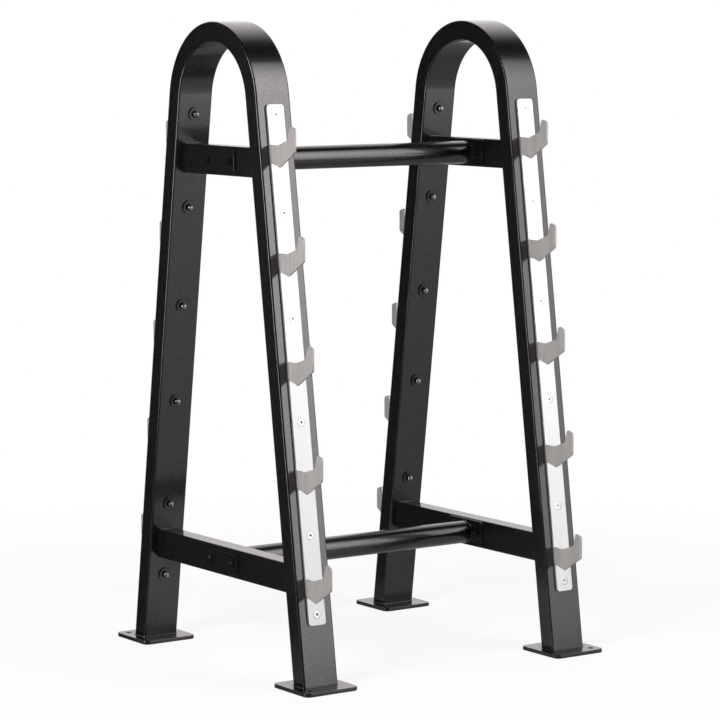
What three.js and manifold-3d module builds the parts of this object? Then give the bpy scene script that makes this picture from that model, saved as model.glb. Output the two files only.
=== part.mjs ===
// Barbell storage rack: two arched side frames joined by two round spreader tubes.
// Each leg carries a bolted rail with five welded hooks, so a bar lies across a pair of hooks.
// X runs along the bars, Y from front to rear, Z up. The origin is on the floor, under the middle.
import * as THREE from "three";
import { mergeVertices } from "three/addons/utils/BufferGeometryUtils.js";
import Module from "manifold-3d";

// Overall sizes, in millimetres
const rackHeight = 1635;
const frameSpacing = 775;
const legLeanDegrees = 8;

// Bent tube of a side frame
const legWidth = 100;
const legDepth = 50;
const legWall = 3;
const legCorner = 4;
const bendRadius = 182;

// Foot plates
const footSize = 155;
const footThickness = 10;
const footCorner = 15;
const anchorHole = 14;
const anchorInset = 25;

// Cross members between the legs of a side frame
const crossWidth = 50;
const crossHeight = 75;
const crossWall = 3;
const crossCorner = 4;
const upperCrossDrop = 348;
const lowerCrossRise = 265;

// Spreader tubes with their flange plates and backing plates
const spreaderDiameter = 60;
const spreaderWall = 3;
const flangeLength = 145;
const flangeHeight = 70;
const flangeThickness = 6;
const backingLength = 145;
const backingHeight = 50;
const backingThickness = 6;
const plateCorner = 5;

// Bolts through a cross member
const boltDiameter = 10;
const boltSpacing = 102;
const boltAcrossFlats = 17;
const boltHeadHeight = 6;
const boltNutHeight = 8;
const boltWasherDiameter = 21;
const boltWasherThickness = 2;
const boltEnd = 3;

// Strip of a hook rail
const stripWidth = 50;
const stripThickness = 6;
const stripCorner = 8;
const railTopGap = 25.5;
const railFootGap = 147.5;

// Hook plates, with heights and reaches counted from the lowest point of the seat
const hookCount = 5;
const hookThickness = 6;
const firstHookDrop = 105;
const lastHookRise = 110.5;
const seatStandoff = 32.5;
const heelRise = 1;
const heelDrop = 43.5;
const lipFootReach = 46;
const lipFootRise = 15;
const lipTopReach = 56;
const lipTopRise = 49.5;
const noseReach = 76;
const noseRise = 42.5;
const noseDrop = 13.5;
const tipReach = 9.5;
const tipDrop = 53.5;
const seatRound = 3;
const lipRound = 5;
const noseRound = 8;
const tipRound = 2;

// Countersunk screws of a rail, each with a wide washer and a cap nut on the leg's inner face
const screwPlaceShares = [0.02, 0.209, 0.412, 0.611, 0.828, 0.98];
const screwDiameter = 10;
const screwHeadDiameter = 20;
const screwHeadHeight = 5;
const screwWasherDiameter = 36;
const screwWasherThickness = 4;
const capNutDiameter = 18;
const capNutCollar = 6;
const capNutDome = 6.5;
const domeShoulderShare = 0.7;

// Clearances and the overrun of every cut
const seatGap = 0.3;
const boltClearance = 0.5;
const overrun = 5;

// Facet counts
const bendSteps = 24;
const tubeSides = 24;
const holeSides = 12;
const shankSides = 8;
const screwSides = 8;
const hexSides = 6;
const sectionSteps = 1;
const hookSteps = 2;

// Places worked out from the sizes above
const lean = THREE.MathUtils.degToRad(legLeanDegrees);
const bendHeight = rackHeight - bendRadius - legDepth / 2;
const legTopOut = bendRadius * Math.cos(lean);
const legTopHeight = bendHeight + bendRadius * Math.sin(lean);
const legLength = (legTopHeight - footThickness) / Math.cos(lean);
const stripLength = legLength - railTopGap - railFootGap;
const hookPitch = (stripLength - firstHookDrop - lastHookRise) / (hookCount - 1);
const upperCrossHeight = rackHeight - upperCrossDrop;
const boreDiameter = boltDiameter + 2 * boltClearance;
const screwBore = screwDiameter + 2 * boltClearance;

const wasm = await Module();
wasm.setup();

// A closed solid that can be joined and cut
function solid(geometry) {
  const plain = geometry.clone();
  plain.deleteAttribute("normal");
  plain.deleteAttribute("uv");
  const merged = mergeVertices(plain);
  const corners = merged.index.array;
  const triangles = [];
  for (let i = 0; i < corners.length; i += 3) {
    const [a, b, c] = corners.slice(i, i + 3);
    if (a !== b && b !== c && c !== a) triangles.push(a, b, c);
  }
  return new wasm.Manifold(new wasm.Mesh({
    numProp: 3,
    vertProperties: new Float32Array(merged.attributes.position.array),
    triVerts: new Uint32Array(triangles),
  }));
}

function geometryOf(manifold) {
  const { vertProperties, triVerts } = manifold.getMesh();
  const geometry = new THREE.BufferGeometry();
  geometry.setAttribute("position", new THREE.BufferAttribute(vertProperties, 3));
  geometry.setIndex(new THREE.BufferAttribute(triVerts, 1));
  geometry.computeVertexNormals();
  return geometry;
}

function joined(...geometries) {
  return geometryOf(geometries.map(solid).reduce((whole, piece) => whole.add(piece)));
}

function cutBy(geometry, ...cutters) {
  return geometryOf(cutters.map(solid).reduce((whole, cutter) => whole.subtract(cutter), solid(geometry)));
}

function within(geometry, region) {
  return geometryOf(solid(geometry).intersect(solid(region)));
}

// A closed outline through corners of [x, y, radius], with an arc at each corner that has a radius
function outline(corners) {
  const shape = new THREE.Shape();
  corners.forEach(([x, y, radius], i) => {
    const corner = new THREE.Vector2(x, y);
    const [beforeX, beforeY] = corners.at(i - 1);
    const [afterX, afterY] = corners[(i + 1) % corners.length];
    const before = new THREE.Vector2(beforeX, beforeY).sub(corner).normalize();
    const after = new THREE.Vector2(afterX, afterY).sub(corner).normalize();
    if (radius > 0) {
      const half = before.angleTo(after) / 2;
      const centre = before.clone().add(after).setLength(radius / Math.sin(half)).add(corner);
      const start = corner.clone().addScaledVector(before, radius / Math.tan(half)).sub(centre);
      const end = corner.clone().addScaledVector(after, radius / Math.tan(half)).sub(centre);
      shape.absarc(centre.x, centre.y, radius, start.angle(), end.angle(), before.cross(after) > 0);
    } else if (i === 0) {
      shape.moveTo(x, y);
    } else {
      shape.lineTo(x, y);
    }
  });
  return shape;
}

function rectangle(width, height, radius) {
  const right = width / 2;
  const top = height / 2;
  return outline([[-right, -top, radius], [right, -top, radius], [right, top, radius], [-right, top, radius]]);
}

// A round hole whose flats, not its corners, lie on the circle, so that a round shank clears them
function roundHole(diameter, sides, x, y) {
  const radius = diameter / 2 / Math.cos(Math.PI / sides);
  const points = Array.from({ length: sides }, (_, i) => {
    const angle = (2 * Math.PI * i) / sides;
    return new THREE.Vector2(x + radius * Math.cos(angle), y + radius * Math.sin(angle));
  });
  return new THREE.Path().setFromPoints(points);
}

function boxSection(width, height, wall, radius) {
  const section = rectangle(width, height, radius);
  section.holes.push(rectangle(width - 2 * wall, height - 2 * wall, 0));
  return section;
}

function extruded(shape, depth, curveSegments) {
  return new THREE.ExtrudeGeometry(shape, { depth, steps: 1, bevelEnabled: false, curveSegments });
}

// Stands an outline upright: its x becomes the way forwards (-Y), its y up, its thickness goes to -X
function uprightPlate(shape, thickness, curveSegments) {
  const axes = new THREE.Matrix4().makeBasis(
    new THREE.Vector3(0, -1, 0), new THREE.Vector3(0, 0, 1), new THREE.Vector3(-1, 0, 0));
  return extruded(shape, thickness, curveSegments).applyMatrix4(axes);
}

// A prism of the given sides lying along X, from one x to the other
function rodAlongX(diameter, sides, from, to) {
  const rod = new THREE.CylinderGeometry(diameter / 2, diameter / 2, to - from, sides);
  return rod.rotateZ(-Math.PI / 2).translate((from + to) / 2, 0, 0);
}

function boreAlongX(diameter, length) {
  const wide = diameter / Math.cos(Math.PI / shankSides);
  return rodAlongX(wide, shankSides, -length / 2, length / 2);
}

// Bent tube: one length of box section, up the front leg, round the bend and down the rear leg
class ArchLine extends THREE.Curve {
  getPointAt(share) {
    const station = share * (bendSteps + 2);
    if (station < 1) return legPoint(-1, (1 - station) * (legLength + legDepth));
    if (station > bendSteps + 1) return legPoint(1, (station - bendSteps - 1) * (legLength + legDepth));
    const angle = this.bendAngle(station);
    const out = -bendRadius * Math.cos(angle);
    return new THREE.Vector3(0, out, bendHeight + bendRadius * Math.sin(angle));
  }

  getTangentAt(share) {
    const station = THREE.MathUtils.clamp(share * (bendSteps + 2), 1, bendSteps + 1);
    const angle = this.bendAngle(station);
    return new THREE.Vector3(0, Math.sin(angle), Math.cos(angle));
  }

  bendAngle(station) {
    return lean + ((station - 1) / bendSteps) * (Math.PI - 2 * lean);
  }
}

function legPoint(side, down) {
  return new THREE.Vector3(0, side * (legTopOut + down * Math.sin(lean)), legTopHeight - down * Math.cos(lean));
}

// Half the distance between the legs' centrelines at a height
function legOutAt(height) {
  return legTopOut + (legTopHeight - height) * Math.tan(lean);
}

// Place of the front leg: origin where the bend begins, +Z up along the leg, -Y out of its front face
function legPlace() {
  const place = new THREE.Group();
  place.position.set(0, -legTopOut, legTopHeight);
  place.rotation.x = -lean;
  place.updateMatrix();
  return place;
}

function screwDrops() {
  return screwPlaceShares.map((share) => railTopGap + share * stripLength);
}

function archTube() {
  const section = boxSection(legWidth, legDepth, legWall, legCorner);
  const tube = new THREE.ExtrudeGeometry(section, {
    steps: bendSteps + 2, extrudePath: new ArchLine(), curveSegments: sectionSteps,
  });
  const underside = new THREE.BoxGeometry(2 * legWidth, 4 * legOutAt(0), 2 * legDepth);
  underside.translate(0, 0, footThickness - legDepth);
  const halfTurn = new THREE.Matrix4().makeRotationZ(Math.PI);
  const bores = screwDrops().flatMap((drop) => {
    const wide = screwBore / 2 / Math.cos(Math.PI / shankSides);
    const bore = new THREE.CylinderGeometry(wide, wide, legDepth + 2 * overrun, shankSides);
    bore.translate(0, 0, -drop).applyMatrix4(legPlace().matrix);
    return [bore, bore.clone().applyMatrix4(halfTurn)];
  });
  return cutBy(tube, underside, ...bores);
}

// Foot plate, flat on the floor, with its anchor hole at the frame's outer corner
function footPlate() {
  const plate = rectangle(footSize, footSize, footCorner);
  const inset = footSize / 2 - anchorInset;
  plate.holes.push(roundHole(anchorHole, holeSides, -inset, -inset));
  return extruded(plate, footThickness, hookSteps);
}

// Cross member: a box section whose ends are cut to the slope of the legs' inner faces
function crossMember(height) {
  const section = boxSection(crossWidth, crossHeight, crossWall, crossCorner);
  const blank = 2 * legOutAt(0);
  const tube = extruded(section, blank, sectionSteps).rotateX(Math.PI / 2).translate(0, blank / 2, 0);
  const reachAt = (up) => legOutAt(height + up) - (legDepth / 2 + seatGap) / Math.cos(lean);
  const low = reachAt(-crossHeight);
  const high = reachAt(crossHeight);
  const slopes = outline([
    [-low, -crossHeight, 0], [low, -crossHeight, 0], [high, crossHeight, 0], [-high, crossHeight, 0],
  ]);
  const between = uprightPlate(slopes, 2 * crossWidth, sectionSteps).translate(crossWidth, 0, 0);
  const bores = [-1, 1].map((side) => {
    return boreAlongX(boreDiameter, crossWidth + 2 * overrun).translate(0, side * boltSpacing / 2, 0);
  });
  return cutBy(within(tube, between), ...bores);
}

// Flat plate with two bolt holes, for the flange of a spreader tube and for the backing plate
function boltedPlate(length, height, thickness) {
  const plate = rectangle(length, height, plateCorner);
  for (const side of [-1, 1]) {
    plate.holes.push(roundHole(boreDiameter, shankSides, side * boltSpacing / 2, 0));
  }
  return uprightPlate(plate, thickness, sectionSteps).translate(thickness, 0, 0);
}

// Bolt through a cross member and both plates: hex head outside, hex nut inside, washers under both
function throughBolt() {
  const hex = boltAcrossFlats / Math.cos(Math.PI / hexSides);
  const outer = -(crossWidth / 2 + backingThickness);
  const inner = crossWidth / 2 + flangeThickness;
  const outerWasher = outer - boltWasherThickness;
  const innerWasher = inner + boltWasherThickness;
  const nutEnd = innerWasher + boltNutHeight;
  return joined(
    rodAlongX(boltDiameter, shankSides, outerWasher, nutEnd + boltEnd),
    rodAlongX(boltWasherDiameter, holeSides, outerWasher, outer),
    rodAlongX(hex, hexSides, outerWasher - boltHeadHeight, outerWasher),
    rodAlongX(boltWasherDiameter, holeSides, inner, innerWasher),
    rodAlongX(hex, hexSides, innerWasher, nutEnd),
  );
}

function spreaderTube() {
  const length = frameSpacing - crossWidth - 2 * flangeThickness;
  const radius = spreaderDiameter / 2;
  const bore = radius - spreaderWall;
  const wall = [[bore, -1], [radius, -1], [radius, 1], [bore, 1], [bore, -1]];
  const profile = wall.map(([out, end]) => new THREE.Vector2(out, end * length / 2));
  return new THREE.LatheGeometry(profile, tubeSides).rotateZ(Math.PI / 2);
}

// Hook plate: a heel on the strip, a seat shaped as a shallow V, a raised lip and a pointed underside
function hookPlate() {
  const heelDepth = seatStandoff + stripThickness / 2;
  const heelReach = (up) => -heelDepth / Math.cos(lean) - up * Math.tan(lean);
  const profile = outline([
    [heelReach(heelRise), heelRise, 0],
    [0, 0, seatRound],
    [lipFootReach, lipFootRise, seatRound],
    [lipTopReach, lipTopRise, lipRound],
    [noseReach, noseRise, noseRound],
    [noseReach, -noseDrop, noseRound],
    [tipReach, -tipDrop, tipRound],
    [heelReach(-heelDrop), -heelDrop, 0],
  ]);
  return uprightPlate(profile, hookThickness, hookSteps).rotateX(lean);
}

// Hook rail: the hooks stand upright on the leaning strip, flush with its outer edge, and are welded
// to it. Its origin is the middle of the strip's top end, on its back.
function hookRail() {
  const shape = rectangle(stripWidth, stripLength, stripCorner);
  const strip = extruded(shape, stripThickness, hookSteps).rotateX(Math.PI / 2).translate(0, 0, -stripLength / 2);
  const hook = hookPlate().translate(-stripWidth / 2 + hookThickness, -stripThickness - seatStandoff, 0);
  const hooks = Array.from({ length: hookCount }, (_, i) => {
    return hook.clone().translate(0, 0, -firstHookDrop - i * hookPitch);
  });
  const countersinks = screwPlaceShares.map((share) => countersink().translate(0, 0, -share * stripLength));
  return cutBy(joined(strip, ...hooks), ...countersinks);
}

// Round form about the screw's own line, from points of [radius, distance out of the strip's back]
function turned(points) {
  const profile = points.map(([radius, out]) => new THREE.Vector2(radius, out));
  return new THREE.LatheGeometry(profile, screwSides).rotateX(Math.PI);
}

function countersink() {
  const flats = Math.cos(Math.PI / screwSides);
  const bore = screwBore / 2 / flats;
  const mouth = screwHeadDiameter / 2 + boltClearance / flats;
  const base = stripThickness - screwHeadHeight;
  const slope = (mouth - bore) / screwHeadHeight;
  return turned([
    [0, -overrun], [bore, -overrun], [bore, base],
    [mouth + slope * overrun, stripThickness + overrun], [0, stripThickness + overrun],
  ]);
}

// Screw with its washer and cap nut, from the dome of the nut to the head flush with the strip
function railScrew() {
  const washerFace = -(legDepth + 2 * seatGap);
  const nutFace = washerFace - screwWasherThickness;
  const collarEnd = nutFace - capNutCollar;
  const shank = screwDiameter / 2;
  const nut = capNutDiameter / 2;
  return turned([
    [0, collarEnd - capNutDome],
    [nut * domeShoulderShare, collarEnd - capNutDome * domeShoulderShare],
    [nut, collarEnd],
    [nut, nutFace],
    [screwWasherDiameter / 2, nutFace],
    [screwWasherDiameter / 2, washerFace],
    [shank, washerFace],
    [shank, stripThickness - screwHeadHeight],
    [screwHeadDiameter / 2, stripThickness],
    [0, stripThickness],
  ]);
}

// Finishes
function powderCoat() {
  return new THREE.MeshStandardMaterial({ color: 0x1d1c1e, roughness: 0.38, metalness: 0 });
}

function brightSteel() {
  return new THREE.MeshStandardMaterial({ color: 0xc9c7c5, roughness: 0.32, metalness: 1 });
}

function blackFastener() {
  return new THREE.MeshStandardMaterial({ color: 0x161618, roughness: 0.3, metalness: 0.6 });
}

function part(name, geometry, material, x, y, z) {
  const mesh = new THREE.Mesh(geometry, material);
  mesh.name = name;
  mesh.position.set(x, y, z);
  return mesh;
}

const archGeometry = archTube();
const footGeometry = footPlate();
const flangeGeometry = boltedPlate(flangeLength, flangeHeight, flangeThickness);
const backingGeometry = boltedPlate(backingLength, backingHeight, backingThickness);
const boltGeometry = throughBolt();
const spreaderGeometry = spreaderTube();
const railGeometry = hookRail();
const screwGeometry = geometryOf(solid(railScrew()));
const levels = [
  { name: "upper", height: upperCrossHeight, geometry: crossMember(upperCrossHeight) },
  { name: "lower", height: lowerCrossRise, geometry: crossMember(lowerCrossRise) },
];

// Rail, screws and foot plate of one leg, in a group that stands at the front of its side frame
function legDressing(name) {
  const leg = new THREE.Group();
  leg.add(part(`${name}_foot_plate`, footGeometry, powderCoat(), 0, -legOutAt(footThickness), 0));
  const face = legPlace();
  const back = -(legDepth / 2 + seatGap);
  face.add(part(`${name}_hook_rail`, railGeometry, brightSteel(), 0, back, -railTopGap));
  screwDrops().forEach((drop, i) => {
    face.add(part(`${name}_rail_screw_${i + 1}`, screwGeometry, blackFastener(), 0, back, -drop));
  });
  leg.add(face);
  return leg;
}

// One side frame, with its outer side to -X. A half turn of the whole makes the opposite frame.
function sideFrame(name, nearLeg, farLeg) {
  const frame = new THREE.Group();
  frame.add(part(`${name}_arch_tube`, archGeometry, powderCoat(), 0, 0, 0));
  for (const level of levels) {
    const prefix = `${name}_${level.name}`;
    const face = crossWidth / 2;
    const behind = -(face + backingThickness);
    frame.add(part(`${prefix}_cross_member`, level.geometry, powderCoat(), 0, 0, level.height));
    frame.add(part(`${prefix}_flange_plate`, flangeGeometry, powderCoat(), face, 0, level.height));
    frame.add(part(`${prefix}_backing_plate`, backingGeometry, powderCoat(), behind, 0, level.height));
    const half = boltSpacing / 2;
    frame.add(part(`${prefix}_${nearLeg}_bolt`, boltGeometry, blackFastener(), 0, -half, level.height));
    frame.add(part(`${prefix}_${farLeg}_bolt`, boltGeometry, blackFastener(), 0, half, level.height));
  }
  frame.add(legDressing(`${name}_${nearLeg}`));
  const far = legDressing(`${name}_${farLeg}`);
  far.rotation.z = Math.PI;
  frame.add(far);
  return frame;
}

const rack = new THREE.Group();
const leftFrame = sideFrame("left", "front", "rear");
leftFrame.position.x = -frameSpacing / 2;
rack.add(leftFrame);
const rightFrame = sideFrame("right", "rear", "front");
rightFrame.position.x = frameSpacing / 2;
rightFrame.rotation.z = Math.PI;
rack.add(rightFrame);
for (const level of levels) {
  rack.add(part(`${level.name}_spreader_tube`, spreaderGeometry, powderCoat(), 0, 0, level.height));
}

export default rack;
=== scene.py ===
"""Barbell storage rack in a plain studio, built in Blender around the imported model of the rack."""

import math

import bpy
import numpy as np
from mathutils import Matrix, Vector
from mathutils.geometry import delaunay_2d_cdt


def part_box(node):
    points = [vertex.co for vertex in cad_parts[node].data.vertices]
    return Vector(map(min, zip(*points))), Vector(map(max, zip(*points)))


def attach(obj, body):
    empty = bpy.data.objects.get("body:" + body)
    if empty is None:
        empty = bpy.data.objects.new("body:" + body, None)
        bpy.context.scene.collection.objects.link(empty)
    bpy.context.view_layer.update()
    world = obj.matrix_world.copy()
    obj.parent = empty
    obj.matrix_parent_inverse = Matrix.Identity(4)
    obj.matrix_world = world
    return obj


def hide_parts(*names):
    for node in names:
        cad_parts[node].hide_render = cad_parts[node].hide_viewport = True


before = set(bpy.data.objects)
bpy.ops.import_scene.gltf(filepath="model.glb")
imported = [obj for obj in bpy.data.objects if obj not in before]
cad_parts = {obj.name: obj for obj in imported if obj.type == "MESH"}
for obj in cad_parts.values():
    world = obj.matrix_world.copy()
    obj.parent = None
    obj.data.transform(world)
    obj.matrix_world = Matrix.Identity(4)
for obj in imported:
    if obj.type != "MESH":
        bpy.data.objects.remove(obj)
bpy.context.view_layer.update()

# Camera
# A long lens at chest height, on the rack's front left and looking slightly down at it. Its place,
# turn and length come from a fit to the rack's own edges.
camera_place = (-4.4553, -6.4578, 1.6460)
camera_yaw = math.radians(34.68)
camera_pitch = math.radians(6.485)
camera_roll = math.radians(-0.151)
camera_lens = 151.1
camera_sensor = 36
camera_reach = 100

forward = Vector((math.sin(camera_yaw) * math.cos(camera_pitch),
                  math.cos(camera_yaw) * math.cos(camera_pitch), -math.sin(camera_pitch)))
level_right = Vector((math.cos(camera_yaw), -math.sin(camera_yaw), 0))
level_up = level_right.cross(forward)
right = level_right * math.cos(camera_roll) + level_up * math.sin(camera_roll)
up = level_up * math.cos(camera_roll) - level_right * math.sin(camera_roll)
camera_turn = Matrix((right, up, -forward)).transposed().to_4x4()

camera = bpy.data.objects.new("camera", bpy.data.cameras.new("camera"))
bpy.context.scene.collection.objects.link(camera)
camera.data.lens = camera_lens
camera.data.sensor_width = camera_sensor
camera.data.clip_end = camera_reach
camera.matrix_world = Matrix.Translation(camera_place) @ camera_turn
bpy.context.scene.camera = camera
bpy.context.scene.view_settings.view_transform = "Standard"


# Arched tubes
# One length of 100 by 50 mm steel box section per side frame, bent cold over the top and powder
# coated black. Its legs lean outwards by 8 degrees and are cut off level, on welded foot plates.
lean = math.radians(8)
leg_depth = 0.050
leg_corner = 0.004
bend_radius = 0.182
bend_steps = 96
corner_steps = 6
flat_ease = 0.0006
brace_reach = 0.001

arch_low, arch_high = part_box("left_arch_tube")
leg_width = arch_high.x - arch_low.x
foot_top = arch_low.z
frame_places = {"left": (arch_low.x + arch_high.x) / 2}
frame_places["right"] = -frame_places["left"]
bend_height = arch_high.z - bend_radius - leg_depth / 2
leg_top_out = bend_radius * math.cos(lean)
leg_top_height = bend_height + bend_radius * math.sin(lean)
half_turns = {"front": 1, "rear": -1}

coat_dark = (0.001, 0.00072, 0.00088, 1)
coat_light = (0.0088, 0.008, 0.0084, 1)
coat_film = 0.68
coat_film_speck = 0.54
coat_roughness = 0.23
coat_roughness_speck = 0.08
coat_roughness_cloud = 0.04
speck_scale = 430.0
speck_contrast = 4.5
speck_share = 0.5
peel_scale = 320.0
peel_share = 0.5
coat_cloud_scale = 7.0


class Signal:
    """A number carried by a shader socket. Sums and products of signals add Math nodes."""

    def __init__(self, finish, socket):
        self.finish = finish
        self.socket = socket

    def math(self, operation, *values):
        """Adds a Math node."""
        return self.finish.node("ShaderNodeMath", {"operation": operation}, *values)

    def __add__(self, other):
        return self.math("ADD", self, other)

    __radd__ = __add__

    def __mul__(self, other):
        return self.math("MULTIPLY", self, other)

    __rmul__ = __mul__

    def __sub__(self, other):
        return self.math("SUBTRACT", self, other)

    def __rsub__(self, other):
        return self.math("SUBTRACT", other, self)

    def steeper(self, contrast):
        """The signal with its distance from one half multiplied by a contrast."""
        return (self - 0.5) * contrast + 0.5


class Finish:
    """A material, or the world, under construction, with the shader that it starts from."""

    def __init__(self, owner, shader="Principled BSDF", **constants):
        self.material = bpy.data.materials.new(owner) if isinstance(owner, str) else owner
        self.material.use_nodes = True
        self.tree = self.material.node_tree
        self.shader = self.tree.nodes[shader]
        for socket, value in constants.items():
            self.shader.inputs[socket.replace("_", " ")].default_value = value
        self.place = self.node("ShaderNodeTexCoord", {}, output="Object")

    def node(self, kind, settings, *values, output=0, **named):
        """Adds a node, sets what it is, then gives its sockets values or links."""
        made = self.tree.nodes.new(kind)
        for key, value in settings.items():
            setattr(made, key, value)
        sockets = list(enumerate(values))
        sockets += [(key.replace("_", " "), value) for key, value in named.items()]
        for socket, value in sockets:
            if isinstance(value, Signal):
                self.tree.links.new(value.socket, made.inputs[socket])
            else:
                made.inputs[socket].default_value = value
        return Signal(self, made.outputs[output])

    def noise(self, scale, detail=2.0, roughness=0.5, place=None):
        """Soft random values from 0 to 1, with features about 1 / scale metres across."""
        return self.node("ShaderNodeTexNoise", {}, Vector=place or self.place, Scale=scale,
                         Detail=detail, Roughness=roughness)

    def blend(self, share, first, second):
        """Two colours mixed by a share from 0 to 1."""
        return self.node("ShaderNodeMix", {"data_type": "RGBA"}, share, output=2,
                         A=first, B=second)

    def feed(self, **signals):
        """Links signals to the shader's sockets."""
        for socket, signal in signals.items():
            self.tree.links.new(signal.socket, self.shader.inputs[socket.replace("_", " ")])

    def surface(self, shader):
        """Makes a shader node what the material or the world shows."""
        output = self.tree.nodes.get("Material Output") or self.tree.nodes["World Output"]
        self.tree.links.new(shader.socket, output.inputs["Surface"])

    def bump(self, height, strength, depth):
        """Feeds a height, in shares of depth, to the shader's normal."""
        self.feed(Normal=self.node("ShaderNodeBump", {}, Strength=strength, Distance=depth,
                                   Height=height))


def powder_coat(name):
    """A hard black film with a fine orange peel, satin to gloss, over a base that is nearly black.

    Specks about 2 mm apart, as the powder leaves them, vary the base, the film and the relief."""
    finish = Finish(name, IOR=1.5, Coat_Roughness=0.14, Coat_IOR=1.6)
    speck = finish.noise(speck_scale, detail=2.0, roughness=0.8)
    peel = finish.noise(peel_scale, detail=1.0)
    cloud = finish.noise(coat_cloud_scale, detail=3.0)
    sharp_speck = speck.steeper(speck_contrast)
    finish.feed(
        Base_Color=finish.blend(sharp_speck, coat_dark, coat_light),
        Coat_Weight=coat_film + sharp_speck * coat_film_speck,
        Roughness=(coat_roughness + sharp_speck * coat_roughness_speck
                   + cloud * coat_roughness_cloud))
    finish.bump(peel * peel_share + speck * speck_share, strength=0.5, depth=0.00034)
    return finish.material


coat = powder_coat("black_powder_coat")


def rounded_outline(corners, steps, ease=0.0):
    """Points and outward normals of an outline whose corners (x, y, radius) are arcs.

    Each arc's centre lies on its corner's bisector, radius / sin(half the corner's angle) away, and
    its points are centre + radius * (cos, sin) over the turn. Ease adds a point on each side of the
    arc, that far along its tangent, so that the flats beside it shade flat."""
    corners = np.asarray(corners, float)
    corner, radius = corners[:, :2], corners[:, 2:]
    before = np.roll(corner, 1, 0) - corner
    after = np.roll(corner, -1, 0) - corner
    before /= np.linalg.norm(before, axis=1, keepdims=True)
    after /= np.linalg.norm(after, axis=1, keepdims=True)
    half = np.arccos(np.clip((before * after).sum(1), -1, 1))[:, None] / 2
    middle = before + after
    middle /= np.linalg.norm(middle, axis=1, keepdims=True)
    centre = corner + middle * radius / np.sin(half)
    turn = np.sign(after[:, 0] * before[:, 1] - after[:, 1] * before[:, 0])[:, None]
    start = corner + before * radius / np.tan(half) - centre
    first = np.arctan2(start[:, 1], start[:, 0])[:, None]
    share = np.linspace(0, 1, steps + 1)
    slide = np.zeros(steps + 1)
    if ease:
        share = np.concatenate([[0], share, [1]])
        slide = np.concatenate([[-ease], slide, [ease]])
    angle = first + turn * (math.pi - 2 * half) * share
    ray = np.stack([np.cos(angle), np.sin(angle)], -1)
    along = np.stack([-np.sin(angle), np.cos(angle)], -1) * turn[:, :, None]
    points = centre[:, None] + ray * radius[:, :, None] + along * slide[None, :, None]
    return points.reshape(-1, 2), (ray * turn[:, :, None]).reshape(-1, 2)


def rectangle(width, height, radius, steps, ease=0.0):
    """Outline of a rectangle with round corners, about its own middle."""
    x, y = width / 2, height / 2
    corners = [(-x, -y, radius), (x, -y, radius), (x, y, radius), (-x, y, radius)]
    return rounded_outline(corners, steps, ease)


def ring_quads(count, around, first=0):
    """Faces between closed rings of equal length.

    Ring i joins ring i + 1, and point j joins point j + 1 and the last one the first."""
    row = first + np.arange(count - 1)[:, None] * around
    here = np.arange(around)[None]
    there = (here + 1) % around
    corners = [row + here, row + there, row + around + there, row + around + here]
    return np.stack(corners, -1).reshape(-1, 4)


def add_piece(name, points, faces, flats, material, replaced=()):
    """A closed piece from points, smooth faces and flat faces, facing outwards.

    All of the rack is one body, so every piece rides its root."""
    mesh = bpy.data.meshes.new(name)
    faces = [list(face) for face in faces]
    flats = [list(face) for face in flats]
    mesh.from_pydata(np.asarray(points).reshape(-1, 3).tolist(), [], faces + flats)
    smooth = np.ones(len(faces) + len(flats), bool)
    smooth[len(faces):] = False
    mesh.polygons.foreach_set("use_smooth", smooth)
    mesh.materials.append(material)
    piece = bpy.data.objects.new(name, mesh)
    bpy.context.scene.collection.objects.link(piece)
    bpy.context.view_layer.objects.active = piece
    piece.select_set(True)
    bpy.ops.object.mode_set(mode="EDIT")
    bpy.ops.mesh.select_all(action="SELECT")
    bpy.ops.mesh.normals_make_consistent(inside=False)
    bpy.ops.object.mode_set(mode="OBJECT")
    piece.select_set(False)
    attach(piece, "root")
    if replaced:
        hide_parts(*replaced)
    return piece


def braced(rings):
    """The rings of a long bar, with one more just inside each end, so that it shades flat."""
    first, last = rings[1] - rings[0], rings[-2] - rings[-1]
    first *= brace_reach / np.linalg.norm(first, axis=1, keepdims=True)
    last *= brace_reach / np.linalg.norm(last, axis=1, keepdims=True)
    return np.concatenate([rings[:1], rings[:1] + first, rings[1:-1],
                           rings[-1:] + last, rings[-1:]])


def add_tube(name, rings, material, replaced=()):
    """A solid bar from rings of points, with a flat end on its first and last ring."""
    count, around = rings.shape[:2]
    ends = [np.arange(around), (count - 1) * around + np.arange(around)]
    return add_piece(name, rings, ring_quads(count, around), ends, material, replaced)


def on_leg(side, leg, across, out, down):
    """World points on a leg: across its width, out from its centreline and down from the bend.

    Down follows the leg, which leans outwards. Out is square to it. A rear leg is a front leg that
    is turned by half a turn about the frame's middle."""
    turn = half_turns[leg]
    across, out, down = np.broadcast_arrays(across, out, down)
    return np.stack([
        frame_places[side] + turn * across,
        -turn * (leg_top_out + down * math.sin(lean) + out * math.cos(lean)),
        leg_top_height - down * math.cos(lean) + out * math.sin(lean)], -1)


def leg_out_at(height):
    """Distance of a leg's centreline from the frame's middle, at a height."""
    return leg_top_out + (leg_top_height - height) * math.tan(lean)


def leg_cut(out):
    """How far down the foot plate's top cuts a line of the leg, that far out from its centre."""
    return (leg_top_height + out * math.sin(lean) - foot_top) / math.cos(lean)


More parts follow.
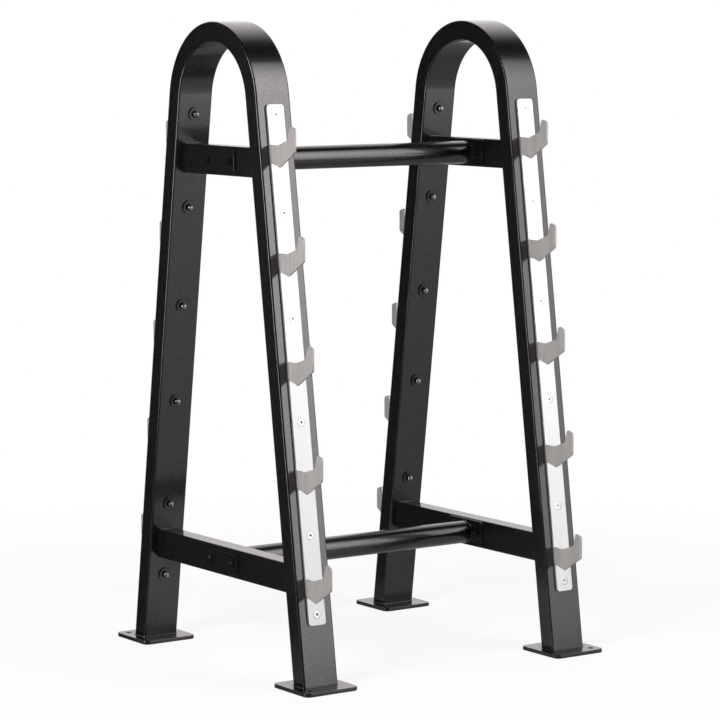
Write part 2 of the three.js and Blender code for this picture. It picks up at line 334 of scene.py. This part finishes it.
def arch_rings(side):
    """The section carried up the front leg, round the bend's circle and down the rear leg.

    On a leg the section slides along the leg's line. On the bend it turns about the bend's centre.
    The first and last ring are sheared, so that each of their points lies on the foot's plane."""
    section, _ = rectangle(leg_width, leg_depth, leg_corner, corner_steps, flat_ease)
    across, out = section[:, 0], section[:, 1]
    angle = np.linspace(lean, math.pi - lean, bend_steps + 1)[:, None]
    around = bend_radius + out[None]
    bend = np.stack(np.broadcast_arrays(frame_places[side] + across[None], -around * np.cos(angle),
                                        bend_height + around * np.sin(angle)), -1)
    front = [on_leg(side, "front", across, out, down) for down in (leg_cut(out), flat_ease)]
    rear = [on_leg(side, "rear", -across, out, down) for down in (flat_ease, leg_cut(out))]
    return np.concatenate([np.stack(front), bend, np.stack(rear)])


for side in frame_places:
    add_tube(f"{side}_arch", braced(arch_rings(side)), coat, [f"{side}_arch_tube"])


# Weld beads
# Fillet welds run all round each joint of the frames and the spreaders, and are coated with them. A
# bead is a thin half-sunk roll whose surface rises and falls with each dab of the torch.
bead_radius = 0.0019
bead_pitch = 0.0034
bead_low_share = 0.9
bead_swell_share = 0.16
bead_sides = 10
bead_samples = 5


def bead_rings(path, normals):
    """A circle carried along a closed path, about the path's tangent.

    Its radius is the bead's * (low share + swell share * |sin(pi * length / pitch)|), one swell for
    each dab."""
    closed = np.concatenate([path, path[:1]])
    outward = np.concatenate([normals, normals[:1]])
    length = np.concatenate([[0], np.cumsum(np.linalg.norm(np.diff(closed, axis=0), axis=1))])
    dabs = max(1, round(length[-1] / bead_pitch))
    at = np.arange(dabs * bead_samples) / (dabs * bead_samples) * length[-1]
    centre = np.stack([np.interp(at, length, column) for column in closed.T], -1)
    outward = np.stack([np.interp(at, length, column) for column in outward.T], -1)
    tangent = np.roll(centre, -1, 0) - np.roll(centre, 1, 0)
    tangent /= np.linalg.norm(tangent, axis=1, keepdims=True)
    outward -= tangent * (outward * tangent).sum(1, keepdims=True)
    outward /= np.linalg.norm(outward, axis=1, keepdims=True)
    sideways = np.cross(tangent, outward)
    dab = np.abs(np.sin(math.pi * at * dabs / length[-1]))
    swell = bead_radius * (bead_low_share + bead_swell_share * dab)
    angle = np.linspace(0, 2 * math.pi, bead_sides, endpoint=False)[None, :, None]
    ring = outward[:, None] * np.cos(angle) + sideways[:, None] * np.sin(angle)
    return centre[:, None] + ring * swell[:, None, None]


def add_bead(name, path, normals):
    """A closed bead: its last ring joins its first."""
    rings = bead_rings(path, normals)
    count, around = rings.shape[:2]
    faces = ring_quads(count + 1, around) % (count * around)
    add_piece(name, rings, faces, [], coat)


for side in frame_places:
    for leg, turn in half_turns.items():
        section, normal = rectangle(leg_width, leg_depth, leg_corner, corner_steps)
        path = on_leg(side, leg, section[:, 0], section[:, 1], leg_cut(section[:, 1]))
        outward = np.stack([turn * normal[:, 0], -turn * normal[:, 1], np.zeros(len(normal))], -1)
        add_bead(f"{side}_{leg}_foot_weld", path, outward)


# Foot plates
# Flame-cut 10 mm steel plates with round corners, welded under the legs and coated with them.
# Each has one anchor hole, at the rack's outer corner.
plate_edge = 0.0009
edge_steps = 4
foot_corner = 0.015
foot_corner_steps = 12
anchor_radius = 0.007
anchor_inset = 0.025
hole_sides = 48
# How a flat face is cut into triangles: inside its outline alone, with points this close taken as
# one, and with none whose middle is within this share of a hole.
inside_faces = 1
same_point = 1e-9
hole_share = 0.999


def edge_profile(thickness, edge):
    """Insets and heights of a plate's rounded edge, from its front face round to its back.

    Over a quarter turn, the inset is edge * (1 - sin), and the drop below the face, or the rise
    above the back, is edge * (1 - cos)."""
    angle = np.linspace(0, math.pi / 2, edge_steps + 1)
    inset = edge * (1 - np.sin(angle))
    drop = edge * (1 - np.cos(angle))
    return np.concatenate([inset, inset[::-1]]), np.concatenate([thickness - drop, drop[::-1]])


def outline_rings(points, normals, insets, heights):
    """Rings of (x, y, height) that follow an outline, drawn in along its normals."""
    ring = points[None] - normals[None] * insets[:, None, None]
    level = np.broadcast_to(heights[:, None, None], (*ring.shape[:2], 1))
    return np.concatenate([ring, level], -1)


def hole_rings(x, y, radii, heights):
    """Rings of a round hole about (x, y), whose radius changes with height, as in a countersink."""
    angle = np.linspace(0, 2 * math.pi, hole_sides, endpoint=False)
    radii, heights = np.asarray(radii, float)[:, None], np.asarray(heights, float)[:, None]
    return np.stack(np.broadcast_arrays(x + radii * np.cos(angle), y + radii * np.sin(angle),
                                        heights), -1)


def hole_profile(radius, thickness, edge):
    """Radii and heights of a plain hole with a broken edge on both faces."""
    inset, height = edge_profile(thickness, edge)
    return radius + inset, height


def face_between(grids, row, starts):
    """Triangles of a plate's flat face, between one ring of the outline and one of each hole.

    Each grid holds the rings of the outline or of a hole, row picks the ring, and starts gives the
    number of each grid's first point."""
    loops = [grid[row] for grid in grids]
    sizes = [len(loop) for loop in loops]
    places = [Vector(point) for point in np.concatenate(loops)[:, :2]]
    numbers = np.concatenate([start + (row % len(grid)) * size + np.arange(size)
                              for grid, size, start in zip(grids, sizes, starts)])
    firsts = np.concatenate([[0], np.cumsum(sizes)])
    edges = [(int(a + k), int(a + (k + 1) % n)) for a, n in zip(firsts, sizes) for k in range(n)]
    points, _, faces, origins, _, _ = delaunay_2d_cdt(places, edges, [], inside_faces, same_point)
    triangles = np.array([list(face) for face in faces])
    middle = np.array([list(point) for point in points])[triangles].mean(1)
    keep = np.ones(len(triangles), bool)
    for hole in loops[1:]:
        centre = hole[:, :2].mean(0)
        reach = np.linalg.norm(hole[0, :2] - centre) * math.cos(math.pi / len(hole)) * hole_share
        keep &= np.linalg.norm(middle - centre, axis=1) > reach
    number = [int(numbers[origin[0]]) for origin in origins]
    return [[number[i] for i in triangle] for triangle in triangles[keep]]


def add_plate(name, outline, thickness, edge, holes, place, material, replaced=()):
    """A flat plate with a rounded edge and holes.

    Place turns its x, y and height into the rack's points."""
    grids = [outline_rings(*outline, *edge_profile(thickness, edge)), *holes]
    starts = np.concatenate([[0], np.cumsum([grid.shape[0] * grid.shape[1] for grid in grids])])
    walls = np.concatenate([ring_quads(*grid.shape[:2], start)
                            for grid, start in zip(grids, starts)])
    flats = face_between(grids, 0, starts) + face_between(grids, -1, starts)
    points = place(*np.concatenate([grid.reshape(-1, 3) for grid in grids]).T)
    add_piece(name, points, walls, flats, material, replaced)


foot_low, foot_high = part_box("left_front_foot_plate")
foot_size = foot_high.x - foot_low.x
foot_out = leg_out_at(foot_top)
anchor_out = foot_size / 2 - anchor_inset
foot_outline = rectangle(foot_size, foot_size, foot_corner, foot_corner_steps, flat_ease)
for side, x in frame_places.items():
    for leg, turn in half_turns.items():
        hole = hole_rings(math.copysign(anchor_out, x), -turn * anchor_out,
                          *hole_profile(anchor_radius, foot_top, plate_edge))

        def on_foot(u, v, height):
            return np.stack([x + u, v - turn * foot_out, height], -1)

        add_plate(f"{side}_{leg}_foot", foot_outline, foot_top, plate_edge, [hole], on_foot,
                  coat, [f"{side}_{leg}_foot_plate"])


# Cross members
# Two steel box sections per side frame, on edge between the legs and welded to their inner faces.
# Their ends are cut to the legs' slope, and they are coated with the frame.
cross_corner = 0.004
levels = {}
for level in ("upper", "lower"):
    low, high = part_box(f"left_{level}_cross_member")
    levels[level] = (low.z + high.z) / 2
cross_width = high.x - low.x
cross_height = high.z - low.z


def cross_end(height):
    """How far a cross member reaches at a height: to the leg's inner face."""
    return leg_out_at(height) - leg_depth / 2 / math.cos(lean)


section, normal = rectangle(cross_width, cross_height, cross_corner, corner_steps, flat_ease)
outward = np.stack([normal[:, 0], np.zeros(len(normal)), normal[:, 1]], -1)
for side, x in frame_places.items():
    for level, middle in levels.items():
        reach = cross_end(middle + section[:, 1])
        ends = [np.stack([x + section[:, 0], way * reach, middle + section[:, 1]], -1)
                for way in (-1, 1)]
        node = f"{side}_{level}_cross_member"
        add_tube(f"{side}_{level}_cross", braced(np.stack(ends)), coat, [node])
        for leg, end in zip(half_turns, ends):
            add_bead(f"{side}_{level}_{leg}_cross_weld", end, outward)


# Spreader tubes
# Two 60 mm round steel tubes hold the side frames apart. Each is welded to a flange plate at both
# ends, bolted through the cross member to a backing plate outside. All are powder coated black.
round_sides = 128
plate_corner = 0.005
plate_corner_steps = 6
bolt_hole_radius = 0.0055
bolt_hole_edge = plate_edge / 2
bolt_spacing = 0.102

angle = np.linspace(0, 2 * math.pi, round_sides, endpoint=False)
ray = np.stack([np.cos(angle), np.sin(angle)], -1)
outward = np.stack([np.zeros(round_sides), ray[:, 0], ray[:, 1]], -1)
for level, middle in levels.items():
    low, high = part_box(f"{level}_spreader_tube")
    radius = (high.z - low.z) / 2
    ends = [np.stack([np.full(round_sides, end), radius * ray[:, 0],
                      middle + radius * ray[:, 1]], -1) for end in (low.x, high.x)]
    add_tube(f"{level}_spreader", braced(np.stack(ends)), coat,
             [f"{level}_spreader_tube"])
    for side, end in zip(frame_places, ends):
        add_bead(f"{side}_{level}_spreader_weld", end, outward)

for side, x in frame_places.items():
    for level, middle in levels.items():
        for kind, way in (("flange", -1), ("backing", 1)):
            node = f"{side}_{level}_{kind}_plate"
            low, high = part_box(node)
            thickness = high.x - low.x
            away = way * math.copysign(1, x)
            near = low.x if away > 0 else high.x

            def beside_cross(u, v, height):
                return np.stack([near + away * height, u, middle + v], -1)

            profile = hole_profile(bolt_hole_radius, thickness, bolt_hole_edge)
            holes = [hole_rings(end * bolt_spacing / 2, 0, *profile) for end in (-1, 1)]
            outline = rectangle(high.y - low.y, high.z - low.z, plate_corner, plate_corner_steps,
                                flat_ease)
            add_plate(f"{side}_{level}_{kind}", outline, thickness, plate_edge, holes, beside_cross,
                      coat, [node])


# Through bolts
# Two black steel M10 bolts per joint, through backing plate, cross member and flange plate. Each
# has a hex head on a washer outside, and a nut on a washer inside, past which its end shows.
oxide_dark = (0.03, 0.0295, 0.03, 1)
oxide_worn = (0.09, 0.0885, 0.0885, 1)
oxide_roughness = 0.08
oxide_roughness_wear = 0.12
oxide_roughness_smudge = 0.06
wear_scale = 260.0
smudge_scale = 45.0

turned_sides = 72
crisp_angle = math.radians(28)
hex_half = 0.0085
hex_corner_share = 1.155
hex_top_share = 0.96
hex_corner = hex_half * hex_corner_share
hex_top = hex_half * hex_top_share
chamfer_slope = math.tan(math.radians(30))
chamfer_rows = 5
washer_edge = 0.0004
bolt_washer_radius = 0.0105
bolt_washer_thickness = 0.002
bolt_head_height = 0.006
bolt_nut_height = 0.008
bolt_radius = 0.005
bolt_end = 0.003
bolt_point_height = 0.0006
bolt_point_inset = 0.0008
# A row of a turned profile is (radius, height, half width over flats). This half width is wider
# than any radius, so that a row that has it stays round.
no_flats = 1.0


def oxide(name):
    """Smooth black conversion coating on steel, slightly worn at random."""
    finish = Finish(name, Metallic=0.85, IOR=1.6)
    wear = finish.noise(wear_scale, detail=4.0, roughness=0.65)
    smudge = finish.noise(smudge_scale, detail=2.0)
    finish.feed(Base_Color=finish.blend(wear, oxide_dark, oxide_worn),
                Roughness=(oxide_roughness + wear * oxide_roughness_wear
                           + smudge * oxide_roughness_smudge))
    finish.bump(wear, strength=0.15, depth=0.00008)
    return finish.material


black_oxide = oxide("black_oxide")


def turned_rings(profile):
    """Rings of a turned or six-sided form: two cross axes and a height.

    At each angle the radius is the smaller of the row's radius and the hexagon's, which is
    half width / cos(angle from the nearest flat's middle)."""
    radius, height, half = np.asarray(profile, float).T[:, :, None]
    angle = np.linspace(0, 2 * math.pi, turned_sides, endpoint=False)[None]
    from_flat = (angle + math.pi / 6) % (math.pi / 3) - math.pi / 6
    reach = np.minimum(radius, half / np.cos(from_flat))
    return reach * np.cos(angle), reach * np.sin(angle), np.broadcast_to(height, reach.shape)


def hex_profile(base, height):
    """Rows of a hex head or nut: upright flats below a chamfer turned on its corners."""
    chamfer = (hex_corner - hex_top) * chamfer_slope
    share = np.linspace(0, 1, chamfer_rows)
    rows = [(hex_corner, base, hex_half)]
    rows += [(hex_corner + (hex_top - hex_corner) * s, base + height - chamfer * (1 - s), hex_half)
             for s in share]
    return rows


def washer_profile(radius, thickness, edge):
    """Rows of a flat washer with slightly broken edges."""
    return [(radius - edge, 0, no_flats), (radius, edge, no_flats),
            (radius, thickness - edge, no_flats), (radius - edge, thickness, no_flats)]


def add_turned(name, profile, place, material, replaced=()):
    """A closed turned form. Place turns its two cross axes and its height into the rack's points.

    Edges where its faces meet steeply are marked sharp, so that they shade crisply."""
    piece = add_tube(name, place(*turned_rings(profile)), material, replaced)
    piece.data.set_sharp_from_angle(angle=crisp_angle)


bolt_washer_rows = washer_profile(bolt_washer_radius, bolt_washer_thickness, washer_edge)
bolt_head_rows = bolt_washer_rows + hex_profile(bolt_washer_thickness, bolt_head_height)
nut_top = bolt_washer_thickness + bolt_nut_height
bolt_nut_rows = bolt_washer_rows + hex_profile(bolt_washer_thickness, bolt_nut_height) + [
    (bolt_radius, nut_top, no_flats),
    (bolt_radius, nut_top + bolt_end - bolt_point_height, no_flats),
    (bolt_radius - bolt_point_inset, nut_top + bolt_end, no_flats)]

for side, x in frame_places.items():
    outward = math.copysign(1, x)
    for level, middle in levels.items():
        backing_low, backing_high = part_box(f"{side}_{level}_backing_plate")
        flange_low, flange_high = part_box(f"{side}_{level}_flange_plate")
        outer_face = backing_high.x if outward > 0 else backing_low.x
        inner_face = flange_low.x if outward > 0 else flange_high.x
        for leg, turn in half_turns.items():
            y = -turn * bolt_spacing / 2

            def outside(u, v, height):
                return np.stack([outer_face + outward * height, y + u, middle + v], -1)

            def inside(u, v, height):
                return np.stack([inner_face - outward * height, y + u, middle + v], -1)

            node = f"{side}_{level}_{leg}_bolt"
            add_turned(f"{node}_head", bolt_head_rows, outside, black_oxide,
                       [node])
            add_turned(f"{node}_nut", bolt_nut_rows, inside, black_oxide)


# Rail strips
# A bright 50 by 6 mm steel strip down the outer face of each leg, with round corners and six
# countersunk holes. It is ground along its length, so its grain runs down the leg.
strip_dull = (0.8234, 0.851, 0.8556, 1)
strip_bright = (0.9246, 0.9522, 0.9568, 1)
strip_roughness = 0.40
strip_roughness_scratch = 0.12
strip_roughness_band = 0.05
strip_band_share = 0.6
strip_cloud_share = 0.4
strip_scratch_scale = 1800.0
strip_band_scale = 140.0
strip_cloud_scale = 9.0
strip_grain_squeeze = 0.012

seat_gap = 0.0003
strip_width = 0.050
strip_thickness = 0.006
strip_corner = 0.008
strip_corner_steps = 10
strip_edge = 0.0007
rail_top_gap = 0.0255
rail_foot_gap = 0.1475
screw_place_shares = np.array([0.02, 0.209, 0.412, 0.611, 0.828, 0.98])
screw_head_radius = 0.010
screw_head_height = 0.005
screw_clearance = 0.0003
countersink_lip = 0.0004

strip_length = leg_cut(0) - rail_top_gap - rail_foot_gap
strip_back = leg_depth / 2 + seat_gap
screw_drops = rail_top_gap + screw_place_shares * strip_length


def bright_steel(name, grain_turn):
    """Ground steel: fine scratches along the strip, which leans with the leg, and faint clouds."""
    finish = Finish(name, Metallic=0.8, IOR=1.8)
    turned = finish.node("ShaderNodeMapping", {"vector_type": "POINT"}, Vector=finish.place,
                         Rotation=(grain_turn, 0, 0))
    grain = finish.node("ShaderNodeMapping", {"vector_type": "POINT"}, Vector=turned,
                        Scale=(1, 1, strip_grain_squeeze))
    scratch = finish.noise(strip_scratch_scale, detail=3.0, roughness=0.7, place=grain)
    band = finish.noise(strip_band_scale, detail=2.0, place=grain)
    cloud = finish.noise(strip_cloud_scale, detail=3.0)
    shade = band * strip_band_share + cloud * strip_cloud_share
    finish.feed(Base_Color=finish.blend(shade, strip_dull, strip_bright),
                Roughness=(strip_roughness + scratch * strip_roughness_scratch
                           + band * strip_roughness_band))
    finish.bump(scratch, strength=0.12, depth=0.00006)
    return finish.material


strip_steel = {"front": bright_steel("strip_steel_front", lean),
               "rear": bright_steel("strip_steel_rear", -lean)}
strip_outline = rectangle(strip_width, strip_length, strip_corner, strip_corner_steps, flat_ease)
countersink_radii = screw_clearance + np.array([screw_head_radius, screw_head_radius,
                                                bolt_hole_radius, bolt_hole_radius])
countersink_heights = [strip_thickness, strip_thickness - countersink_lip,
                       strip_thickness - screw_head_height, 0]
countersinks = [hole_rings(0, strip_length / 2 - (drop - rail_top_gap), countersink_radii,
                           countersink_heights) for drop in screw_drops]
for side in frame_places:
    for leg in half_turns:
        def on_strip(u, v, height):
            return on_leg(side, leg, u, strip_back + height, rail_top_gap + strip_length / 2 - v)

        add_plate(f"{side}_{leg}_strip", strip_outline, strip_thickness, strip_edge, countersinks,
                  on_strip, strip_steel[leg], [f"{side}_{leg}_hook_rail"])


# Hook plates
# Five per rail, cut from 6 mm steel plate and welded upright to the strip, flush with its edge. The
# seat is a shallow V, the lip leans outwards, and the underside comes to a point.
hook_dark = (0.42, 0.412, 0.407, 1)
hook_light = (0.51, 0.498, 0.493, 1)
hook_roughness = 0.38
hook_roughness_scratch = 0.12
hook_roughness_band = 0.06
hook_scratch_scale = 1500.0
hook_band_scale = 120.0
hook_band_contrast = 3.0
hook_grain_squeeze = 0.02

hook_count = 5
hook_thickness = 0.006
hook_edge = 0.0006
hook_corner_steps = 8
first_hook_drop = 0.105
last_hook_rise = 0.1105
seat_standoff = 0.0325
heel_rise = 0.001
heel_drop = 0.0435
heel_sink = 0.001
heel_round = 0.0012
# Each corner is its reach and rise from the seat's lowest point, and its radius. They are the seat
# itself, the lip's foot and top, the nose's top and bottom, and the tip of the underside.
hook_corners = [
    (0.0, 0.0, 0.003),
    (0.046, 0.015, 0.003),
    (0.056, 0.0495, 0.005),
    (0.076, 0.0425, 0.008),
    (0.076, -0.0135, 0.008),
    (0.0095, -0.0535, 0.002),
]


def cut_steel(name):
    """Plate with a dull upright grain, in soft bands of shade a few millimetres wide."""
    finish = Finish(name, Metallic=0.35, IOR=1.8)
    grain = finish.node("ShaderNodeMapping", {"vector_type": "POINT"}, Vector=finish.place,
                        Scale=(1, 1, hook_grain_squeeze))
    scratch = finish.noise(hook_scratch_scale, detail=3.0, roughness=0.7, place=grain)
    band = finish.noise(hook_band_scale, detail=2.0, place=grain)
    finish.feed(Base_Color=finish.blend(band.steeper(hook_band_contrast), hook_dark, hook_light),
                Roughness=(hook_roughness + scratch * hook_roughness_scratch
                           + band * hook_roughness_band))
    finish.bump(scratch, strength=0.12, depth=0.00006)
    return finish.material


def heel_corner(rise):
    """A corner of the hook's heel, that far above its seat and just inside the strip's face."""
    reach = -(seat_standoff + heel_sink) / math.cos(lean) - rise * math.tan(lean)
    return reach, rise, heel_round


hook_steel = cut_steel("hook_steel")
hook_outline = rounded_outline(
    [heel_corner(-heel_drop), *reversed(hook_corners), heel_corner(heel_rise)], hook_corner_steps)
hook_pitch = (strip_length - first_hook_drop - last_hook_rise) / (hook_count - 1)
seat_out = strip_back + strip_thickness + seat_standoff
for side in frame_places:
    for leg, turn in half_turns.items():
        for number in range(hook_count):
            drop = rail_top_gap + first_hook_drop + number * hook_pitch
            seat = on_leg(side, leg, -strip_width / 2, seat_out, drop)

            def on_hook(u, v, height):
                return np.stack([seat[0] + turn * (hook_thickness - height), seat[1] - turn * u,
                                 seat[2] + v], -1)

            add_plate(f"{side}_{leg}_hook_{number + 1}", hook_outline, hook_thickness, hook_edge,
                      [], on_hook, hook_steel)


# Rail screws
# Countersunk M10 socket screws, zinc plated, hold each rail. On the leg's inner face each has a
# wide coated washer and a black hex nut, which a plated dome closes.
plating_scale = 300.0
plating_roughness_cloud = 0.12
plating_shade = (0.85, 0.85, 0.86)
plating_shine = (1.0, 1.0, 1.01)

screw_neck_radius = 0.0052
socket_radius = 0.0040
socket_half = 0.003
socket_lip = 0.0003
socket_depth = 0.003
socket_point_radius = 0.0004
socket_point_depth = 0.0006
head_sink = 0.0001
# The head's rim, as insets from its radius and drops below the strip's face.
head_rim = [(0.0002, 0.0005), (0.0004, 0.0002), (0.0009, head_sink)]
wide_washer_radius = 0.018
wide_washer_thickness = 0.004
wide_washer_edge = 0.0006
cap_nut_height = 0.006
cap_dome_radius = 0.0078
cap_dome_height = 0.0065
cap_dome_rows = 10
cap_dome_crown = 0.05


def zinc(name, tone, rough):
    """Plating, faintly clouded: tone is its lightest grey."""
    finish = Finish(name, Metallic=1.0)
    cloud = finish.noise(plating_scale, detail=3.0)
    shade = (*(tone * share for share in plating_shade), 1)
    shine = (*(tone * share for share in plating_shine), 1)
    finish.feed(Base_Color=finish.blend(cloud, shade, shine),
                Roughness=rough + cloud * plating_roughness_cloud)
    return finish.material


plated = zinc("plated_steel", tone=0.78, rough=0.22)
satin_plated = zinc("satin_plated_steel", tone=0.5, rough=0.4)

screw_head_rows = [
    (screw_neck_radius, strip_thickness - screw_head_height, no_flats),
    *((screw_head_radius - inset, strip_thickness - drop, no_flats) for inset, drop in head_rim),
    (socket_radius, strip_thickness - head_sink, no_flats),
    (socket_radius, strip_thickness - socket_lip, socket_half),
    (socket_radius, strip_thickness - socket_depth, socket_half),
    (socket_point_radius, strip_thickness - socket_depth - socket_point_depth, no_flats),
]
wide_washer_rows = washer_profile(wide_washer_radius, wide_washer_thickness, wide_washer_edge)
cap_rows = hex_profile(wide_washer_thickness, cap_nut_height)
cap_top = wide_washer_thickness + cap_nut_height
dome_rows = [(cap_dome_radius * math.cos(a), cap_top + cap_dome_height * math.sin(a), no_flats)
             for a in np.linspace(0, math.pi / 2 - cap_dome_crown, cap_dome_rows)]
for side in frame_places:
    for leg in half_turns:
        for number, drop in enumerate(screw_drops, 1):
            def in_strip(u, v, height):
                return on_leg(side, leg, u, strip_back + height, drop - v)

            def behind_leg(u, v, height):
                return on_leg(side, leg, u, -leg_depth / 2 - height, drop + v)

            node = f"{side}_{leg}_rail_screw_{number}"
            add_turned(f"{node}_head", screw_head_rows, in_strip, plated)
            add_turned(f"{node}_washer", wide_washer_rows, behind_leg, coat)
            add_turned(f"{node}_cap_nut", cap_rows, behind_leg, black_oxide,
                       [node])
            add_turned(f"{node}_dome", dome_rows, behind_leg, satin_plated)


# Studio
# A pale floor, white to the camera and with painted light and shade in what it mirrors, in a dim
# room. A tall panel glows on the rack's front right, a narrow one on its left and a sweep behind it.
# A broad lamp, which nothing mirrors, is on the left.
warm_white = (1.0, 0.962, 0.952, 1)
plain_white = (1, 1, 1, 1)
no_colour = (0, 0, 0, 1)

floor_reach = 40.0
paper_tone = (0.72, 0.705, 0.70, 1)
# Painted shade, painted light and a paler painted pool near the rack, which the floor shows only to
# mirrored rays.
painted_shade_tone = (0.018, 0.0175, 0.017, 1)
painted_light_tone = (0.43, 0.416, 0.409, 1)
painted_near_light_tone = (0.66, 0.645, 0.64, 1)
lit_way = (0.82, -0.57, 0)
lit_range = {"From_Min": -0.45, "From_Max": 0.15}
painted_pool_range = {"From_Min": 0.2, "From_Max": 0.85, "To_Min": 1.0, "To_Max": 0.0}
far_range = {"From_Min": 0.9, "From_Max": 2.6}
camera_glow = 0.75
camera_glow_strength = 1.15
mirror_glow = 0.015


def stage_sheet(name, corners, material):
    """A flat four-cornered sheet of the studio."""
    mesh = bpy.data.meshes.new(name)
    mesh.from_pydata(corners, [], [(0, 1, 2, 3)])
    mesh.materials.append(material)
    sheet = bpy.data.objects.new(name, mesh)
    bpy.context.scene.collection.objects.link(sheet)
    return sheet


def light_path(finish, output):
    """What kind a ray is, or how often it was mirrored, as a signal."""
    return finish.node("ShaderNodeLightPath", {}, output=output)


def seen_plainly(finish):
    """Whether the camera sees the place, directly or through something."""
    return light_path(finish, "Is Camera Ray") + light_path(finish, "Is Transmission Ray")


def measure(finish, operation, *vectors):
    """A number worked out from vectors, such as a length or a dot product."""
    return finish.node("ShaderNodeVectorMath", {"operation": operation}, *vectors, output="Value")


def smooth_step(finish, value, **bounds):
    """A soft step from 0 to 1, or between other ends, as a value passes through a range."""
    return finish.node("ShaderNodeMapRange", {"interpolation_type": "SMOOTHSTEP"}, value, **bounds)


def mix(finish, share, first, second):
    """Two shaders mixed by a share from 0 to 1."""
    return finish.node("ShaderNodeMixShader", {}, share, first, second)


# To mirrored rays the floor shows painted light and shade: painted shade on the rack's left, painted
# light towards its front right, and a paler painted pool of light close around the rack.
floor = Finish("floor", Roughness=0.25, IOR=1.5)
mirrored = light_path(floor, "Is Glossy Ray")
lit = smooth_step(floor, measure(floor, "DOT_PRODUCT", floor.place, lit_way), **lit_range)
away = measure(floor, "LENGTH", floor.place)
painted_pool_share = smooth_step(floor, away, **painted_pool_range)
painted_mirror_tone = floor.blend(painted_pool_share, floor.blend(lit, painted_shade_tone, painted_light_tone), painted_near_light_tone)
floor.feed(Base_Color=floor.blend(mirrored, paper_tone, painted_mirror_tone))
satin = Signal(floor, floor.shader.outputs["BSDF"])
paper = floor.node("ShaderNodeBsdfDiffuse", {}, Color=paper_tone)
near_light = floor.node("ShaderNodeEmission", {}, Color=plain_white, Strength=camera_glow_strength)
white_light = floor.node("ShaderNodeEmission", {}, Color=plain_white, Strength=1.0)
seen_floor = mix(floor, smooth_step(floor, away, **far_range),
                 mix(floor, camera_glow, paper, near_light), white_light)
mirrored_floor = mix(floor, mirrored * mirror_glow, satin, white_light)
floor.surface(mix(floor, seen_plainly(floor), mirrored_floor, seen_floor))
stage_sheet("floor", [(-floor_reach, -floor_reach, 0), (floor_reach, -floor_reach, 0),
                      (floor_reach, floor_reach, 0), (-floor_reach, floor_reach, 0)],
            floor.material)

mirrored_once = 1.5
loss_when_mirrored_again = 0.6


def soft_panel(name, bearing, distance, sideways, heights, brightness):
    """An upright sheet that glows only for the rack. Bearing is measured from -Y towards -X.

    Brightness turns the place across the sheet and the height, as signals, into the glow."""
    way = Vector((-math.sin(bearing), -math.cos(bearing), 0))
    across = Vector((-way.y, way.x, 0))
    corners = [way * distance + across * s + Vector((0, 0, h))
               for s, h in ((sideways[0], heights[0]), (sideways[1], heights[0]),
                            (sideways[1], heights[1]), (sideways[0], heights[1]))]
    finish = Finish(name, Base_Color=no_colour, Specular_IOR_Level=0.0, Emission_Strength=1.0)
    place_across = measure(finish, "DOT_PRODUCT", finish.place, tuple(across))
    height = finish.node("ShaderNodeSeparateXYZ", {}, finish.place, output="Z")
    times = light_path(finish, "Glossy Depth")
    again = times.math("GREATER_THAN", times, mirrored_once)
    glow = brightness(place_across, height) * (1 - again * loss_when_mirrored_again)
    finish.feed(Emission_Color=finish.node("ShaderNodeVectorMath", {"operation": "SCALE"},
                                           warm_white[:3], Scale=glow))
    sheet = stage_sheet(name, corners, finish.material)
    sheet.visible_camera = False
    return sheet


front_peak_height = 4.4
front_peak_glow = 5.1
front_peak_spread = 20
front_side_start = 0.7
front_side_fall = 1.8
side_glow_low = 6.5
side_glow_rise = 5.0
sweep_glow_low = 0.77
sweep_glow_rise = 0.1


def front_glow(across, height):
    """A bell in height, that falls away to the right.

    It is peak glow * exp(-(height - peak height)^2 / spread - (across + start) / fall)."""
    rise = height - front_peak_height
    fall = (rise * rise * (-1 / front_peak_spread)
            + (across + front_side_start) * (-1 / front_side_fall))
    return fall.math("EXPONENT", fall) * front_peak_glow


def side_glow(across, height):
    """Brighter towards the top."""
    return height * side_glow_rise + side_glow_low


def sweep_glow(across, height):
    """A little dimmer near the floor."""
    return height * sweep_glow_rise + sweep_glow_low


soft_panel("front_panel", bearing=math.radians(-36), distance=5.0, sideways=(-1.35, 2.0),
           heights=(0.05, 7.2), brightness=front_glow)
side_panel = soft_panel("side_panel", bearing=math.radians(104), distance=3.5,
                        sideways=(-0.35, 0.35), heights=(0.0, 2.6), brightness=side_glow)
side_panel.visible_diffuse = False
sweep = soft_panel("sweep", bearing=math.radians(215.2), distance=3.2, sideways=(-2.4, 2.6),
                   heights=(0.0, 2.2), brightness=sweep_glow)
sweep.visible_transmission = False
sweep.visible_diffuse = False
sweep.visible_shadow = False

fill_place = (-8.0, -3.0, 4.0)
fill_way = (8.0, 3.0, -3.2)
fill_size = 4.0
fill_energy = 760

fill = bpy.data.objects.new("fill", bpy.data.lights.new("fill", "AREA"))
fill.data.shape = "RECTANGLE"
fill.data.size = fill_size
fill.data.size_y = fill_size
fill.data.energy = fill_energy
fill.data.color = warm_white[:3]
fill.location = fill_place
fill.rotation_euler = Vector(fill_way).to_track_quat("-Z", "Y").to_euler()
fill.visible_glossy = False
bpy.context.scene.collection.objects.link(fill)

# White to the camera. To the rack it is a dim room, bright only above and beyond the sweep.
sweep_way = (0.57, 0.82, 0.35)
sweep_range = {"From_Min": 0.62, "From_Max": 1.0}
room_strength = 0.004
sweep_strength = 1.1

world = bpy.data.worlds.new("studio")
bpy.context.scene.world = world
sky = Finish(world, "Background", Color=plain_white, Strength=1.0)
white = Signal(sky, sky.shader.outputs["Background"])
direction = sky.node("ShaderNodeTexCoord", {}, output="Generated")
on_sweep = smooth_step(sky, measure(sky, "DOT_PRODUCT", direction, sweep_way), **sweep_range)
dim_room = sky.node("ShaderNodeBackground", {}, Color=warm_white, Strength=room_strength)
bright_sweep = sky.node("ShaderNodeBackground", {}, Color=warm_white, Strength=sweep_strength)
sky.surface(mix(sky, seen_plainly(sky), mix(sky, on_sweep, dim_room, bright_sweep), white))
